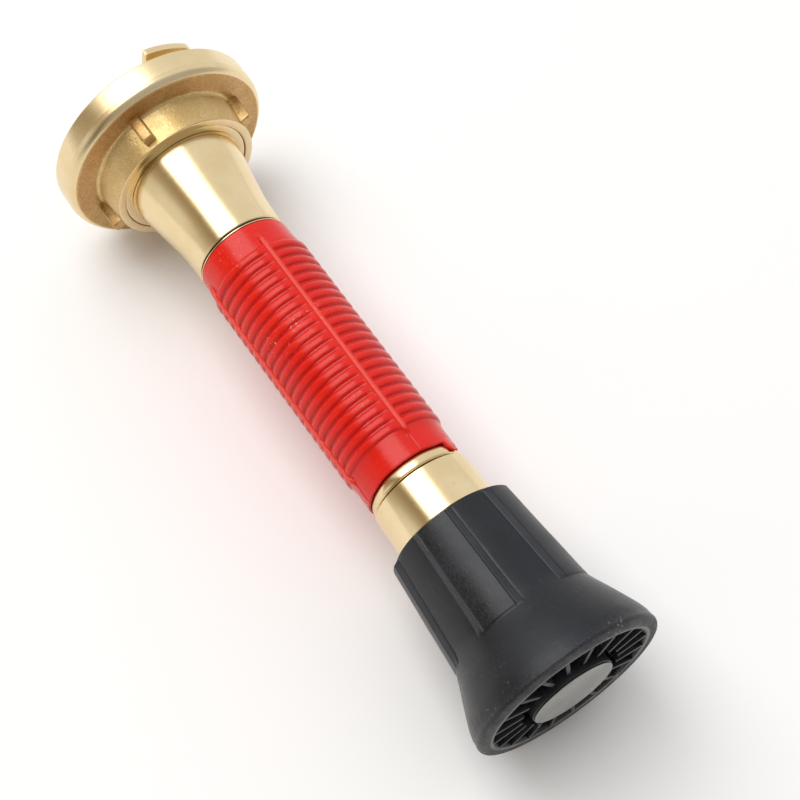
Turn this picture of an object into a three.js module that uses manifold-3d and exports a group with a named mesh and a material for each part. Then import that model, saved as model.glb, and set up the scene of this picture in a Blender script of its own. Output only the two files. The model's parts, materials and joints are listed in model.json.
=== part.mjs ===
// Fire hose nozzle: a branchpipe with a swivel claw coupling, a ribbed grip and a twist head.
// The coupling is at low X and the head at high X. All lengths are in millimetres.
// Pieces are drawn with x counted from the coupling's mating face and the nozzle's axis on
// y = z = 0; the last group lays the nozzle on the ground, with the origin under its middle.
// Angles about the axis are in degrees, from +Y towards +Z.

import * as THREE from "three";
import { mergeVertices } from "three/addons/utils/BufferGeometryUtils.js";
import Module from "manifold-3d";

const wasm = await Module();
wasm.setup();

// ---------------------------------------------------------------- driving dimensions

const GAP = 0.3; // clearance between neighbouring pieces
const FINE = 44; // facets round the large outer pieces
const COARSE = 32; // facets round the inner pieces

// swivel coupling
const RIM_R = 49;
const RIM_STRAIGHT = 9.5; // length of the rim's cylindrical part
const RIM_X = 13.9; // rear face of the rim
const RIM_REAR_R = 45.8;
const HUB_BASE_R = 35.4;
const HUB_END_R = 34;
const HUB_X = 29; // rear end of the hub
const FLANGE_BORE_R = 31.7;
const SHOULDER_X = 11; // the shoulder that pulls on the tail's flange
const JOURNAL_R = 27.2; // the tail's bearing surface
const RETAINER_X = 25.6; // floor of the pocket for the retaining ring
const RETAINER_R = 30;
const RETAINER_GROOVE_X = 26.6; // the tail's groove that the ring springs into
const RETAINER_GROOVE_END = 28.6;
const RETAINER_GROOVE_R = 25.8;
const RETAINER_SPLIT = 10; // degrees
const RETAINER_SPLIT_ANGLE = 297;

const CLAWS = 2;
const CLAW_ANGLE = 64;
const CLAW_HALF = 16.3;
const CLAW_REACH = 12;
const CLAW_INNER_R = 33;
const CLAW_NECK_R = 38;
const CLAW_HOOK_R = 41.8;
const CLAW_HOOK_LENGTH = 3.4;
const CLAW_ROOT = 2; // how deep a claw's neck is rooted in the rim
const SLOT_HALF = 19; // the slots take the claws of the mating coupling
const SLOT_R = 43;
const SLOT_DEPTH = 12.4;
const LATCH_FACE = 8; // thickness of the plate that the mating claws hook behind
const LATCH_SWEEP = 52; // how far the mating claws turn behind it
const LATCH_NECK_R = CLAW_NECK_R + 0.5; // outer wall of the groove for the mating claws' necks

const WRENCH_RIBS = 4;
const WRENCH_RIB_ANGLE = 20;
const WRENCH_RIB_WIDTH = 6.4;
const WRENCH_RIB_R = 39.2;
const WRENCH_RIB_X = 26.5;

// tail: its flange carries the gasket and takes the pull of the coupling ring
const TAIL_FLANGE_X = 3;
const TAIL_FLANGE_END = 9.6;
const TAIL_FLANGE_R = FLANGE_BORE_R - GAP;
const TAIL_MOUTH_R = 23.8;
const TAIL_X = 76; // front end of the tail
const TAIL_END_R = 21.2;
const TAIL_SOCKET_X = 60; // floor of the socket for the tube
const TAIL_PROFILE = [
  [44.6, 24.6],
  [54.1, 22.8],
  [60.6, 21.8],
  [66, 21.4],
  [72, 21.8],
];
const GASKET_LIP_X = -1.3; // the gasket stands this far proud of the mating face
const GASKET_GROOVE_INNER_R = 25.5;
const GASKET_GROOVE_OUTER_R = 29;
const GASKET_GROOVE_X = 6.5;

// tube and grip
const TUBE_START = 61;
const TUBE_X = 76.8; // rear face of the tube's flange
const TUBE_FLANGE_END = 80;
const TUBE_FLANGE_R = 19.8;
const TUBE_SOCKET_X = 187; // floor of the socket for the cam body
const TUBE_END = 203;
const TUBE_R = 18.6;
const WATERWAY_R = 15;
const THREAD_R = 17; // screwed spigots, drawn plain
const GRIP_X = 77.6;
const GRIP_END = 208;
const GRIP_MOUTH_R = 20.9; // inside of the grip where it spreads over the neck
const GRIP_END_R = 22.5;
const GRIP_R = 22.2; // outside of the grip between its rings
const GRIP_RING_R = 23.3;
const GRIP_RINGS = 21;
const GRIP_FIRST_RING = 91.8;
const GRIP_PITCH = 4.94;
const GRIP_SEAMS = 4;
const GRIP_SEAM_ANGLE = 80;

// cam body and head
const SPIGOT_X = 188;
const NECK_X = 203.3;
const BODY_X = 211.7; // front of the neck's bulge
const NECK_PROFILE = [
  [NECK_X, 18.9],
  [205, 19.3],
  [207, 19.9],
  [209, 20.8],
  [210.6, 21.5],
  [211.3, 21.4],
  [BODY_X, 20.9],
];
const BODY_R = 19.5;
const BODY_END = 266;
const SPIDER_X = 259.2;
const CAM_X = 241.5; // where the guide pins stand at rest
const CAM_TRAVEL = 14;
const CAM_TURN = 270; // the turn that moves the head over CAM_TRAVEL
const CAM_MARGIN = 12; // extra groove at both ends
const CAM_GROOVE_R = 2.4;
const CAM_STEPS = 20;
const PIN_R = 2;
const PIN_THREAD_R = 2.6;
const PIN_SHOULDER_R = 20.4; // where the pin's nose meets its thread
const PIN_HEAD_R = 22.6;
const PIN_SOCKET_R = 1.3;
const PINS = 2;
const PIN_ANGLE = 30;
const HEAD_SEALS = [232.6, 236.6];
const SEAL_SECTION = 1.25;
const SEAL_GROOVE_R = 16.9;
const HUB_R = 5.5; // the spider's hub
const SPIDER_ARMS = 3;
const SPIDER_ARM_WIDTH = 2.4;
const SPIDER_RING_R = 14.4;

const BARREL_X = 212.2;
const BARREL_END = 286;
const BARREL_REAR_R = 22.4;
const BARREL_R = 22.9;
const BARREL_BORE_R = 19.9;
const BARREL_MOUTH_R = 20.6;
const BORE_END = 268.5; // the bore narrows from here to the orifice
const ORIFICE_R = 16;
const ORIFICE_LENGTH = 2;
const SEAT_SHIFT = CAM_TRAVEL + 0.4; // the seat stops this far behind the baffle's cone at rest
const SEAT_R = 19.6;
const COLLAR_X = 250; // the collar that holds the bumper on the barrel
const COLLAR_END = 256;
const COLLAR_R = 25;
const WIPER_X = 213.8;
const WIPER_END = 216.5;
const WIPER_R = 21.1;

const BUMPER_X = 233.4;
const BUMPER_END = 313.4;
const BUMPER_REAR_R = 26.7;
const PAD_X = 234.6;
const BUMPER_PROFILE = [
  [PAD_X, 27.3],
  [276, 30.7],
  [281.5, 31.8],
  [287.5, 34.2],
  [292, 36.2],
  [298.5, 39],
  [304, 41],
  [307.4, 41.9],
];
const PAD_END = 282.8;
const PAD_REAR_R = 28.5;
const PAD_FRONT_R = 32.3;
const PADS = 5;
const PAD_ANGLE = 42.5;
const PAD_HALF = 17;
const LIP_R = 42.6;
const MOUTH_R = 35;
const TEETH = 20;
const TEETH_ANGLE = 8;
const TOOTH_THICKNESS = 1.7;
const TOOTH_INNER_R = 22.5;
const TOOTH_ROOT_R = 29; // the bell's inside where the teeth begin
const TOOTH_X = 290;
const TOOTH_END = 313.1;

const BAFFLE_R = 18.7;
const DISC_R = 18.3;
const DISC_X = 314.4;
const DISC_END = 315.2;
const CONE_APEX = 278; // the baffle's 45 degree cone is r = x - CONE_APEX
const BAFFLE_X = 285;
const STEM_R = 3;
const STEM_X = 251;
const STEM_COLLAR_R = 5;
const STEM_WAIST_R = 4;
const STEM_END = 300.5;
const NUT_R = 6;
const NUT_LENGTH = 5;
const SEAT_SEAL_INNER_R = 13.5;
const SEAT_SEAL_OUTER_R = 17.2;
const SEAT_SEAL_DEPTH = 2.5;

// ---------------------------------------------------------------- shaping helpers

const radians = THREE.MathUtils.degToRad;

const polar = (r, degrees) => [r * Math.cos(radians(degrees)), r * Math.sin(radians(degrees))];

// A solid of revolution about Y. Its outline closes on itself, or starts and ends on the axis.
function lathed(outline, facets) {
  const points = outline.map(([r, y]) => new THREE.Vector2(r, y));
  if (THREE.ShapeUtils.isClockWise(points)) points.reverse();
  if (points[0].x > 0) points.push(points[0].clone());
  return new THREE.LatheGeometry(points, facets);
}

const X = new THREE.Vector3(1, 0, 0);
const Y = new THREE.Vector3(0, 1, 0);
const Z = new THREE.Vector3(0, 0, 1);

// A solid of revolution about X, from an outline of [x, radius].
function turned(outline, facets = COARSE) {
  const upright = lathed(
    outline.map(([x, r]) => [r, x]),
    facets,
  );
  return upright.applyMatrix4(new THREE.Matrix4().makeBasis(Z, X, Y));
}

// A shape drawn in the plane of +Y and +Z, extruded from x0 to x1.
function extruded(shape, x0, x1, curveSegments = 8) {
  const geometry = new THREE.ExtrudeGeometry(shape, {
    depth: x1 - x0,
    bevelEnabled: false,
    curveSegments,
  });
  return geometry.applyMatrix4(new THREE.Matrix4().makeBasis(Y, Z, X)).translate(x0, 0, 0);
}

// A piece of a ring between two radii and two angles, extruded from x0 to x1.
function sector(r0, r1, from, to, x0, x1, curveSegments = 8) {
  const shape = new THREE.Shape();
  shape.absarc(0, 0, r1, radians(from), radians(to), false);
  shape.absarc(0, 0, r0, radians(to), radians(from), true);
  shape.closePath();
  return extruded(shape, x0, x1, curveSegments);
}

// A box from r0 to r1, centred on an angle, of a width across it.
function radialBox(r0, r1, width, degrees, x0, x1) {
  return new THREE.BoxGeometry(x1 - x0, r1 - r0, width)
    .translate((x0 + x1) / 2, (r0 + r1) / 2, 0)
    .rotateX(radians(degrees));
}

// The outline of a round section, such as an O-ring's, centred on [x, radius].
function roundSection(x, r, radius, sides = 8) {
  return Array.from({ length: sides }, (_, i) => {
    const [dx, dr] = polar(radius, (360 * i) / sides);
    return [x + dx, r + dr];
  });
}

function toSolid(geometry) {
  const bare = geometry.clone();
  bare.deleteAttribute("normal");
  bare.deleteAttribute("uv");
  const merged = mergeVertices(bare, 1e-4);
  return new wasm.Manifold(
    new wasm.Mesh({
      numProp: 3,
      vertProperties: merged.attributes.position.array,
      triVerts: new Uint32Array(merged.index.array),
    }),
  );
}

function toGeometry(solid) {
  const { vertProperties, triVerts } = solid.getMesh();
  const geometry = new THREE.BufferGeometry();
  geometry.setAttribute("position", new THREE.BufferAttribute(vertProperties, 3));
  geometry.setIndex(new THREE.BufferAttribute(triVerts, 1));
  geometry.computeVertexNormals();
  return geometry;
}

const joined = (base, additions) =>
  toGeometry(additions.reduce((whole, piece) => whole.add(toSolid(piece)), toSolid(base)));

const cut = (base, cutters) =>
  toGeometry(cutters.reduce((whole, piece) => whole.subtract(toSolid(piece)), toSolid(base)));

const evenly = (count, start, make) =>
  Array.from({ length: count }, (_, i) => make(start + (360 * i) / count));

// ---------------------------------------------------------------- materials

const finish = (color, roughness, metalness) => () =>
  new THREE.MeshStandardMaterial({ color, roughness, metalness });

const machinedBrass = finish(0xd9bd7c, 0.22, 1);
const castBrass = finish(0xb08a55, 0.5, 1);
const redRubber = finish(0xd92a20, 0.45, 0);
const blackRubber = finish(0x2b2c30, 0.6, 0);
const blackPlastic = finish(0x1c1e22, 0.4, 0);
const steel = finish(0xa5a6a8, 0.35, 1);

const nozzle = new THREE.Group();

function add(name, geometry, material) {
  const mesh = new THREE.Mesh(geometry, material());
  mesh.name = name;
  nozzle.add(mesh);
}

// ---------------------------------------------------------------- swivel coupling

// One claw: a neck that rises from the ring's front face, with a hook that turns outwards.
function claw(degrees) {
  const from = degrees - CLAW_HALF;
  const to = degrees + CLAW_HALF;
  const hookX = -CLAW_REACH + CLAW_HOOK_LENGTH;
  return [
    sector(CLAW_INNER_R, CLAW_NECK_R, from, to, -CLAW_REACH, CLAW_ROOT, 6),
    sector(CLAW_NECK_R - 1, CLAW_HOOK_R, from, to, -CLAW_REACH, hookX, 6),
  ];
}

// The pocket that takes a claw of the mating coupling, the way its hook turns behind the plate
// and the groove that its neck turns along.
function latchPocket(degrees) {
  const from = degrees - SLOT_HALF;
  const to = degrees + SLOT_HALF;
  return [
    sector(CLAW_INNER_R, SLOT_R, from, to, -1, SLOT_DEPTH, 6),
    sector(CLAW_INNER_R, SLOT_R, to - 1, to + LATCH_SWEEP, LATCH_FACE, SLOT_DEPTH, 8),
    sector(CLAW_INNER_R, LATCH_NECK_R, to - 1, to + LATCH_SWEEP, -1, LATCH_FACE + 1, 8),
  ];
}

function couplingRing() {
  const ring = turned(
    [
      [0, FLANGE_BORE_R], [0, RIM_R - 1], [0.3, RIM_R - 0.3], [1, RIM_R],
      [RIM_STRAIGHT, RIM_R], [12.2, RIM_R - 1.2], [RIM_X, RIM_REAR_R],
      [RIM_X, HUB_BASE_R + 0.8], [RIM_X + 0.9, HUB_BASE_R],
      [HUB_X - 0.8, HUB_END_R], [HUB_X, HUB_END_R - 0.9],
      [HUB_X, RETAINER_R + GAP], [RETAINER_X, RETAINER_R + GAP],
      [RETAINER_X, JOURNAL_R + GAP], [SHOULDER_X, JOURNAL_R + GAP], [SHOULDER_X, FLANGE_BORE_R],
    ],
    FINE,
  );
  const ribs = evenly(WRENCH_RIBS, WRENCH_RIB_ANGLE, (degrees) =>
    radialBox(HUB_BASE_R - 4, WRENCH_RIB_R, WRENCH_RIB_WIDTH, degrees, RIM_X - 1, WRENCH_RIB_X),
  );
  const claws = evenly(CLAWS, CLAW_ANGLE, claw).flat();
  const pockets = evenly(CLAWS, CLAW_ANGLE + 180 / CLAWS, latchPocket).flat();
  return cut(joined(ring, [...ribs, ...claws]), pockets);
}

// The gasket's tongue sits in a groove of the tail's flange; its face seals on the mating gasket.
function couplingGasket() {
  const back = TAIL_FLANGE_X - GAP;
  const tongue = GASKET_GROOVE_X - GAP;
  const outer = TAIL_FLANGE_R - 0.4;
  return turned([
    [GASKET_LIP_X, 24], [GASKET_LIP_X, 27], [-0.2, outer], [back, outer],
    [back, GASKET_GROOVE_OUTER_R - GAP], [tongue, GASKET_GROOVE_OUTER_R - GAP],
    [tongue, GASKET_GROOVE_INNER_R + GAP], [back, GASKET_GROOVE_INNER_R + GAP],
    [back, 24.2], [1.6, 23],
  ]);
}

function couplingTail() {
  return turned(
    [
      [TAIL_FLANGE_X, TAIL_MOUTH_R], [TAIL_FLANGE_X, GASKET_GROOVE_INNER_R],
      [GASKET_GROOVE_X, GASKET_GROOVE_INNER_R], [GASKET_GROOVE_X, GASKET_GROOVE_OUTER_R],
      [TAIL_FLANGE_X, GASKET_GROOVE_OUTER_R], [TAIL_FLANGE_X, TAIL_FLANGE_R],
      [TAIL_FLANGE_END, TAIL_FLANGE_R], [TAIL_FLANGE_END, JOURNAL_R],
      [RETAINER_GROOVE_X, JOURNAL_R], [RETAINER_GROOVE_X, RETAINER_GROOVE_R],
      [RETAINER_GROOVE_END, RETAINER_GROOVE_R], [RETAINER_GROOVE_END, JOURNAL_R - GAP],
      ...TAIL_PROFILE,
      [TAIL_X, TAIL_END_R], [TAIL_X, THREAD_R + GAP + 1], [TAIL_SOCKET_X, THREAD_R + GAP],
      [TAIL_SOCKET_X, WATERWAY_R + 1.5], [14, TAIL_MOUTH_R - 1],
    ],
    FINE,
  );
}

const slideWasher = () =>
  turned([
    [TAIL_FLANGE_END + GAP, JOURNAL_R + GAP], [TAIL_FLANGE_END + GAP, TAIL_FLANGE_R],
    [SHOULDER_X - GAP, TAIL_FLANGE_R], [SHOULDER_X - GAP, JOURNAL_R + GAP],
  ]);

// A split ring that springs into the tail's groove and keeps the coupling ring on.
function retainingRing() {
  const from = RETAINER_SPLIT_ANGLE + RETAINER_SPLIT / 2;
  const to = RETAINER_SPLIT_ANGLE + 360 - RETAINER_SPLIT / 2;
  const rear = RETAINER_GROOVE_X + GAP;
  const front = RETAINER_GROOVE_END - GAP;
  return sector(RETAINER_GROOVE_R + GAP, RETAINER_R - GAP, from, to, rear, front, COARSE);
}

add("coupling_ring", couplingRing(), castBrass);
add("coupling_gasket", couplingGasket(), blackRubber);
add("coupling_tail", couplingTail(), machinedBrass);
add("slide_washer", slideWasher(), blackPlastic);
add("retaining_ring", retainingRing(), machinedBrass);

// ---------------------------------------------------------------- tube and grip

const tailSeal = () =>
  turned([
    [TAIL_X + 0.2, TUBE_R], [TAIL_X + 0.2, TAIL_END_R - 0.1],
    [TUBE_X - 0.2, TAIL_END_R - 0.1], [TUBE_X - 0.2, TUBE_R],
  ], FINE);

function nozzleTube() {
  return turned([
    [TUBE_START, WATERWAY_R], [TUBE_START, THREAD_R], [TUBE_X, THREAD_R], [TUBE_X, TAIL_END_R],
    [TUBE_X + 0.5, TAIL_END_R], [TUBE_X + 0.5, TUBE_FLANGE_R], [TUBE_FLANGE_END, TUBE_FLANGE_R],
    [TUBE_FLANGE_END, TUBE_R], [TUBE_END, TUBE_R], [TUBE_END, THREAD_R + GAP],
    [TUBE_SOCKET_X, THREAD_R + GAP], [TUBE_SOCKET_X, WATERWAY_R],
  ]);
}

// A moulded sleeve with raised rings. Low seams along it mark the joints of its mould.
function gripSleeve() {
  const rings = Array.from({ length: GRIP_RINGS }, (_, i) => GRIP_FIRST_RING + i * GRIP_PITCH);
  const half = GRIP_PITCH / 2;
  const sleeve = turned([
    [GRIP_X, TUBE_FLANGE_R + GAP], [GRIP_X, 21.4], [GRIP_FIRST_RING - 5, 21.9],
    [GRIP_FIRST_RING - half, GRIP_R],
    ...rings.flatMap((x) => [[x, GRIP_RING_R], [x + half, GRIP_R]]),
    [GRIP_END - 2, GRIP_END_R + 0.1], [GRIP_END, GRIP_END_R], [GRIP_END, GRIP_MOUTH_R],
    [TUBE_END, TUBE_R + GAP], [TUBE_FLANGE_END + GAP, TUBE_R + GAP],
    [TUBE_FLANGE_END + GAP, TUBE_FLANGE_R + GAP],
  ]);
  const seams = evenly(GRIP_SEAMS, GRIP_SEAM_ANGLE, (degrees) =>
    radialBox(GRIP_R - 1, GRIP_RING_R + 0.2, 1.6, degrees, GRIP_FIRST_RING - 5, GRIP_END - 12),
  );
  return joined(sleeve, seams);
}

add("tail_seal", tailSeal(), blackRubber);
add("nozzle_tube", nozzleTube(), machinedBrass);
add("grip_sleeve", gripSleeve(), redRubber);

// ---------------------------------------------------------------- cam body

// The groove that a guide pin follows: the head turns and moves forwards along it.
function camGroove(degrees) {
  const sweep = CAM_TURN + 2 * CAM_MARGIN;
  const lead = CAM_TRAVEL / CAM_TURN;
  const points = Array.from({ length: CAM_STEPS + 1 }, (_, i) => {
    const turn = -CAM_MARGIN + (sweep * i) / CAM_STEPS;
    return new THREE.Vector3(CAM_X + lead * turn, ...polar(BODY_R + 0.2, degrees + turn));
  });
  const section = new THREE.Shape();
  section.absarc(0, 0, CAM_GROOVE_R, 0, 2 * Math.PI, false);
  return new THREE.ExtrudeGeometry(section, {
    steps: CAM_STEPS,
    curveSegments: 8,
    extrudePath: new THREE.CatmullRomCurve3(points),
  });
}

function camBody() {
  const half = SEAL_SECTION + GAP;
  const sealGrooves = HEAD_SEALS.flatMap((x) => [
    [x - half, BODY_R], [x - half, SEAL_GROOVE_R], [x + half, SEAL_GROOVE_R], [x + half, BODY_R],
  ]);
  const body = turned([
    [SPIGOT_X, WATERWAY_R], [SPIGOT_X, THREAD_R], [NECK_X, THREAD_R],
    ...NECK_PROFILE,
    [BODY_X, BODY_R],
    ...sealGrooves,
    [BODY_END - 0.8, BODY_R], [BODY_END, BODY_R - 0.8], [BODY_END, THREAD_R + GAP],
    [SPIDER_X, THREAD_R + GAP], [SPIDER_X, WATERWAY_R],
  ]);
  return cut(body, evenly(PINS, PIN_ANGLE, camGroove));
}

const headSeal = (x) => turned(roundSection(x, SEAL_GROOVE_R + GAP + SEAL_SECTION, SEAL_SECTION));

add("cam_body", camBody(), machinedBrass);
HEAD_SEALS.forEach((x, i) => add(`head_seal_${i + 1}`, headSeal(x), blackRubber));

// ---------------------------------------------------------------- spider, stem and baffle

const SPIDER_END = BODY_END - 1.5;

function spider() {
  const rear = SPIDER_X + GAP;
  const ring = turned([
    [rear, SPIDER_RING_R], [rear, THREAD_R], [SPIDER_END - GAP, THREAD_R],
    [SPIDER_END - GAP, SPIDER_RING_R],
  ]);
  const hub = turned([[rear, 0], [rear, HUB_R], [SPIDER_END, HUB_R], [SPIDER_END, 0]]);
  const arms = evenly(SPIDER_ARMS, 90, (degrees) =>
    radialBox(HUB_R - 2, SPIDER_RING_R + 1, SPIDER_ARM_WIDTH, degrees, rear + GAP, SPIDER_END - 2 * GAP),
  );
  const bore = turned(
    [[STEM_X, 0], [STEM_X, STEM_R + GAP], [BAFFLE_X, STEM_R + GAP], [BAFFLE_X, 0]],
    24,
  );
  return cut(joined(ring, [hub, ...arms]), [bore]);
}

const stem = () =>
  turned(
    [
      [STEM_X, 0], [STEM_X, STEM_R], [SPIDER_END + GAP, STEM_R], [SPIDER_END + GAP, STEM_COLLAR_R],
      [270, STEM_COLLAR_R], [272, STEM_WAIST_R], [BAFFLE_X - 1, STEM_WAIST_R],
      [BAFFLE_X - 1, STEM_R], [STEM_END, STEM_R], [STEM_END, 0],
    ],
    24,
  );

function stemNut() {
  const hexagon = new THREE.Shape(
    Array.from({ length: 6 }, (_, i) => new THREE.Vector2(...polar(NUT_R, 60 * i))),
  );
  hexagon.holes.push(new THREE.Path().absarc(0, 0, STEM_R + GAP, 0, 2 * Math.PI, true));
  return extruded(hexagon, SPIDER_X - NUT_LENGTH, SPIDER_X, 12);
}

// The seal lies in a pocket of the baffle's cone; x offsets run along the axis from the cone.
const onCone = (r, offset = 0) => [CONE_APEX + r + offset, r];

function baffle() {
  return turned([
    [STEM_END + GAP, 0], [STEM_END + GAP, STEM_R + GAP], [BAFFLE_X, STEM_R + GAP], onCone(7),
    onCone(SEAT_SEAL_INNER_R), onCone(SEAT_SEAL_INNER_R, SEAT_SEAL_DEPTH),
    onCone(SEAT_SEAL_OUTER_R, SEAT_SEAL_DEPTH), onCone(SEAT_SEAL_OUTER_R), onCone(BAFFLE_R),
    [DISC_X - GAP - 0.4, BAFFLE_R], [DISC_X - GAP, BAFFLE_R - 0.4], [DISC_X - GAP, 0],
  ]);
}

const baffleSeal = () =>
  turned([
    onCone(SEAT_SEAL_INNER_R + GAP, -0.05), onCone(SEAT_SEAL_OUTER_R - GAP, -0.05),
    onCone(SEAT_SEAL_OUTER_R - GAP, SEAT_SEAL_DEPTH - GAP),
    onCone(SEAT_SEAL_INNER_R + GAP, SEAT_SEAL_DEPTH - GAP),
  ]);

const baffleDisc = () =>
  turned([
    [DISC_X, 0], [DISC_X, DISC_R], [DISC_END - 0.3, DISC_R], [DISC_END, DISC_R - 0.3],
    [DISC_END, 0],
  ]);

add("spider", spider(), machinedBrass);
add("stem", stem(), machinedBrass);
add("stem_nut", stemNut(), machinedBrass);
add("baffle", baffle(), blackPlastic);
add("baffle_seal", baffleSeal(), blackRubber);
add("baffle_disc", baffleDisc(), steel);

// ---------------------------------------------------------------- twist head

const wiper = () =>
  turned([
    [WIPER_X, BODY_R + GAP], [WIPER_X, WIPER_R], [WIPER_END, WIPER_R],
    [WIPER_END, BODY_R + GAP + 0.5], [WIPER_X + 1.2, BODY_R + GAP],
  ]);

function barrel() {
  const seat = CONE_APEX - SEAT_SHIFT;
  const body = turned(
    [
      [BARREL_X, BARREL_MOUTH_R], [BARREL_X, BARREL_REAR_R - 0.4], [BARREL_X + 0.4, BARREL_REAR_R],
      [BUMPER_X, BARREL_R], [COLLAR_X, BARREL_R], [COLLAR_X, COLLAR_R], [COLLAR_END, COLLAR_R],
      [COLLAR_END, BARREL_R], [BARREL_END, BARREL_R], [BARREL_END, SEAT_R + 1],
      [seat + SEAT_R, SEAT_R], [seat + ORIFICE_R, ORIFICE_R],
      [seat + ORIFICE_R - ORIFICE_LENGTH, ORIFICE_R], [BORE_END, BARREL_BORE_R],
      [WIPER_END + GAP, BARREL_BORE_R], [WIPER_END + GAP, WIPER_R + GAP],
      [WIPER_X - GAP, WIPER_R + GAP], [WIPER_X - GAP, BARREL_MOUTH_R],
    ],
    FINE,
  );
  const r = PIN_THREAD_R + GAP;
  const holes = evenly(PINS, PIN_ANGLE, (degrees) =>
    atPin(lathed([[0, 18], [r, 18], [r, 24], [0, 24]], 12), degrees),
  );
  return cut(body, holes);
}

// Places a piece drawn about Y at a guide pin's place in the barrel wall.
const atPin = (piece, degrees) => piece.translate(CAM_X, 0, 0).rotateX(radians(degrees));

// A set screw whose round nose rides in the cam groove.
function guidePin(degrees) {
  const centre = BODY_R + 0.2;
  const nose = [0, 30, 60, 90].map((angle) => {
    const [down, out] = polar(PIN_R, angle);
    return [out, centre - down];
  });
  const outline = [
    ...nose, [PIN_R, PIN_SHOULDER_R], [PIN_THREAD_R, PIN_SHOULDER_R], [PIN_THREAD_R, PIN_HEAD_R],
    [PIN_SOCKET_R, PIN_HEAD_R], [PIN_SOCKET_R, PIN_HEAD_R - 1.2], [0, PIN_HEAD_R - 1.2],
  ];
  return atPin(lathed(outline, 12), degrees);
}

// The rubber bumper: a cone with raised pads that opens into a bell with a rounded lip.
// Inside its mouth, thin teeth stand all round and break the water up into fog.
function bumper() {
  const bore = BARREL_R + GAP;
  const shell = turned(
    [
      [BUMPER_X, bore], [BUMPER_X, BUMPER_REAR_R],
      ...BUMPER_PROFILE,
      [309.2, LIP_R - 0.1], [311, LIP_R], [312.5, LIP_R - 0.8], [BUMPER_END, LIP_R - 2.4],
      [BUMPER_END, MOUTH_R + 0.8], [BUMPER_END - 0.8, MOUTH_R], [300, MOUTH_R - 1.5],
      [TOOTH_X, TOOTH_ROOT_R], [288, 24.5], [BARREL_END + GAP, SEAT_R + 1.2],
      [BARREL_END + GAP, bore], [COLLAR_END + GAP, bore], [COLLAR_END + GAP, COLLAR_R + GAP],
      [COLLAR_X - GAP, COLLAR_R + GAP], [COLLAR_X - GAP, bore],
    ],
    FINE,
  );
  const pads = evenly(PADS, PAD_ANGLE, (degrees) => {
    const band = toSolid(
      turned(
        [
          [PAD_X, PAD_REAR_R - 2], [PAD_X + 0.2, PAD_REAR_R], [PAD_END - 1.4, PAD_FRONT_R],
          [PAD_END, PAD_FRONT_R - 0.1], [PAD_END, PAD_FRONT_R - 2.3],
        ],
        FINE,
      ),
    );
    const wedge = toSolid(sector(20, 40, degrees - PAD_HALF, degrees + PAD_HALF, PAD_X, PAD_END, 6));
    return toGeometry(band.intersect(wedge));
  });
  const toothBand = toSolid(
    turned([
      [TOOTH_X - 2, TOOTH_INNER_R], [TOOTH_X - 2, 26], [TOOTH_X, TOOTH_ROOT_R + 1], [300, MOUTH_R - 0.5],
      [TOOTH_END, MOUTH_R + 0.6], [TOOTH_END, TOOTH_INNER_R],
    ]),
  );
  const teeth = evenly(TEETH, TEETH_ANGLE, (degrees) => {
    const slab = radialBox(TOOTH_INNER_R - 3, 40, TOOTH_THICKNESS, degrees, TOOTH_X - 3, BUMPER_END);
    return toGeometry(toSolid(slab).intersect(toothBand));
  });
  return joined(shell, [...pads, ...teeth]);
}

add("wiper_ring", wiper(), blackRubber);
add("barrel", barrel(), machinedBrass);
evenly(PINS, PIN_ANGLE, guidePin).forEach((pin, i) => add(`guide_pin_${i + 1}`, pin, steel));
add("bumper", bumper(), blackRubber);

// ---------------------------------------------------------------- the whole nozzle

nozzle.position.set(-(DISC_END - CLAW_REACH) / 2, 0, RIM_R);

const fireHoseNozzle = new THREE.Group();
fireHoseNozzle.add(nozzle);

export default fireHoseNozzle;
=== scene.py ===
"""Looks for the fire hose nozzle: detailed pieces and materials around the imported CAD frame.

Lengths in the outlines are in millimetres: x counts along the nozzle's axis from the coupling's
mating face, and the second number is the radius. Angles go from +Y towards +Z, in degrees.
"""

import json
import math

import bmesh
import bpy
from mathutils import Matrix, Vector, noise

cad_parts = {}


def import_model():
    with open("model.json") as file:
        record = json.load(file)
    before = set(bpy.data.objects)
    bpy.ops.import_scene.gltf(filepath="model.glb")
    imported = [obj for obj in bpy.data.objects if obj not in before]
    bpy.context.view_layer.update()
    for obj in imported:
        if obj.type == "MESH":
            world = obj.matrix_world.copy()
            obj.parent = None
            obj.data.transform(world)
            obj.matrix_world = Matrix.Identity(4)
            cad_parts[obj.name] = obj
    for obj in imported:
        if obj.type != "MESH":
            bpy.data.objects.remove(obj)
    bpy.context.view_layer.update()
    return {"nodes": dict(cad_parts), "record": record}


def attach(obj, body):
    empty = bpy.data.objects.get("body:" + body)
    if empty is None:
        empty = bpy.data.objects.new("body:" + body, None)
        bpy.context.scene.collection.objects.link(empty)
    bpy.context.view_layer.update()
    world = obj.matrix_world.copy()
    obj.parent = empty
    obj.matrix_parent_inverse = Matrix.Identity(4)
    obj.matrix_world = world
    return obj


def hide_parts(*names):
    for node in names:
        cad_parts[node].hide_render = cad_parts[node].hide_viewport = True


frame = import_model()

MM = 0.001
CREASE = 32  # degrees between faces that stay sharp

RIM_R, LIP_R = 49.0, 42.6  # outside of the coupling ring and of the bumper's lip
RINGS, FIRST_RING, RING_PITCH = 21, 92.6, 4.94
LAST_RING = FIRST_RING + (RINGS - 1) * RING_PITCH
SEAMS = (80, 170, 260, 350)

PADS, FIRST_PAD_ANGLE = 5, 42.5
PAD_CENTRES = tuple(FIRST_PAD_ANGLE + 72 * i for i in range(PADS))
PAD_HALF, FLANK_END = 14.5, 19.8  # where a pad's top and its flank end, in degrees from its centre
PAD_START, PAD_END = 234.6, 283.0

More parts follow.
